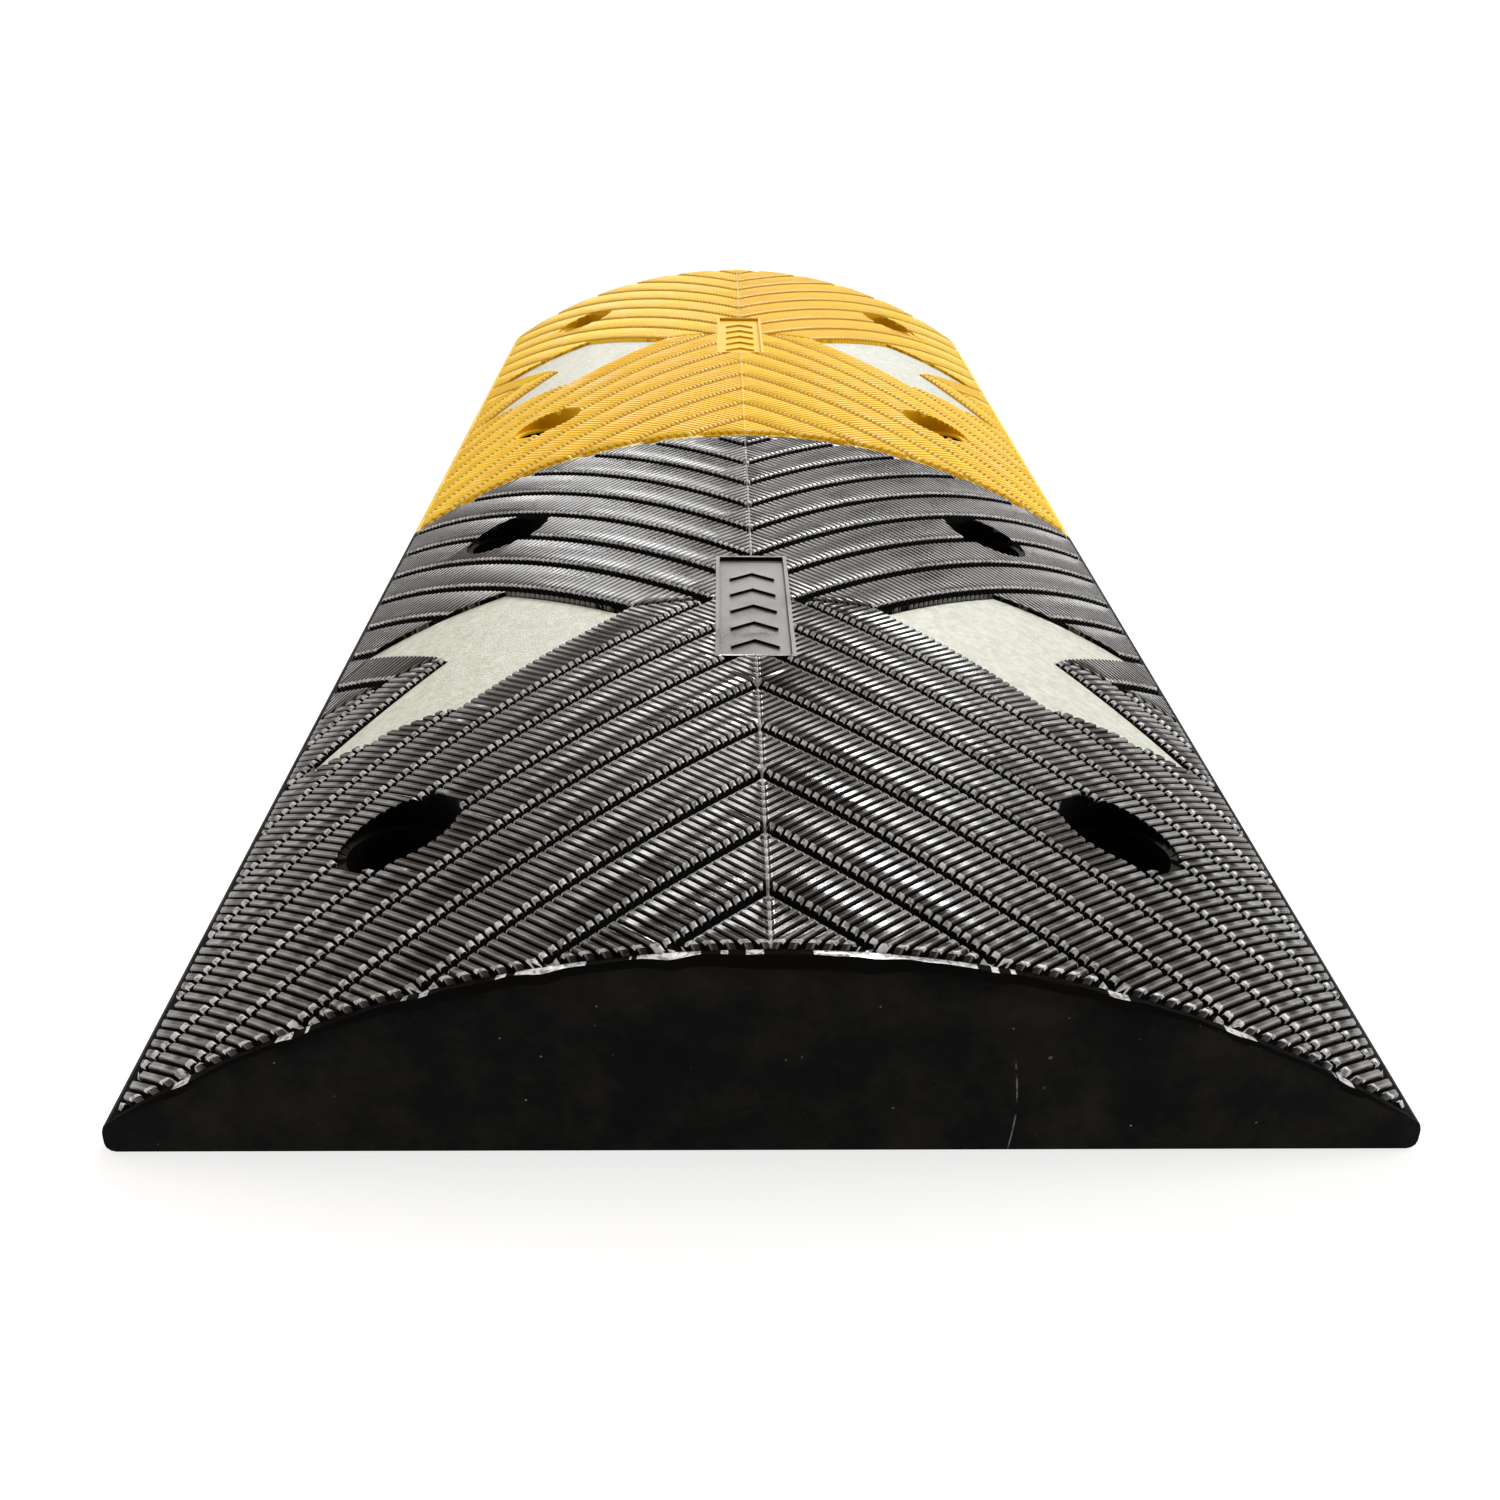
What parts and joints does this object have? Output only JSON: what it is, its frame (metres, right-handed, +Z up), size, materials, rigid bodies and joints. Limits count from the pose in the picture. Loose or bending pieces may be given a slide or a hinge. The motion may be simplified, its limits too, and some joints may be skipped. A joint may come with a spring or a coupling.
{
  "type": "rubber speed bump",
  "caption": "Two-module domed rubber speed bump, black and yellow, with ribbed tread, recessed reflective arrows and countersunk bolt holes.",
  "frame": {"origin": "on the road surface, at the middle of the joint between the two modules", "axes": "+X across the bump in the driving direction, +Y along the bump from the black module to the yellow one, +Z up"},
  "size_m": [0.38, 1, 0.07],
  "materials": {
    "black_rubber": "moulded, satin on the ribs, matte on the end faces",
    "yellow_rubber": "moulded, satin",
    "reflective_sheet": "fine glass-bead texture, off-white"
  },
  "bodies": {
    "root": {"black_module_body": "black_rubber", "yellow_module_base": "black_rubber", "yellow_module_cover": "yellow_rubber", "black_module_right_arrow": "reflective_sheet", "black_module_left_arrow": "reflective_sheet", "yellow_module_right_arrow": "reflective_sheet", "yellow_module_left_arrow": "reflective_sheet"}
  },
  "joints": []
}
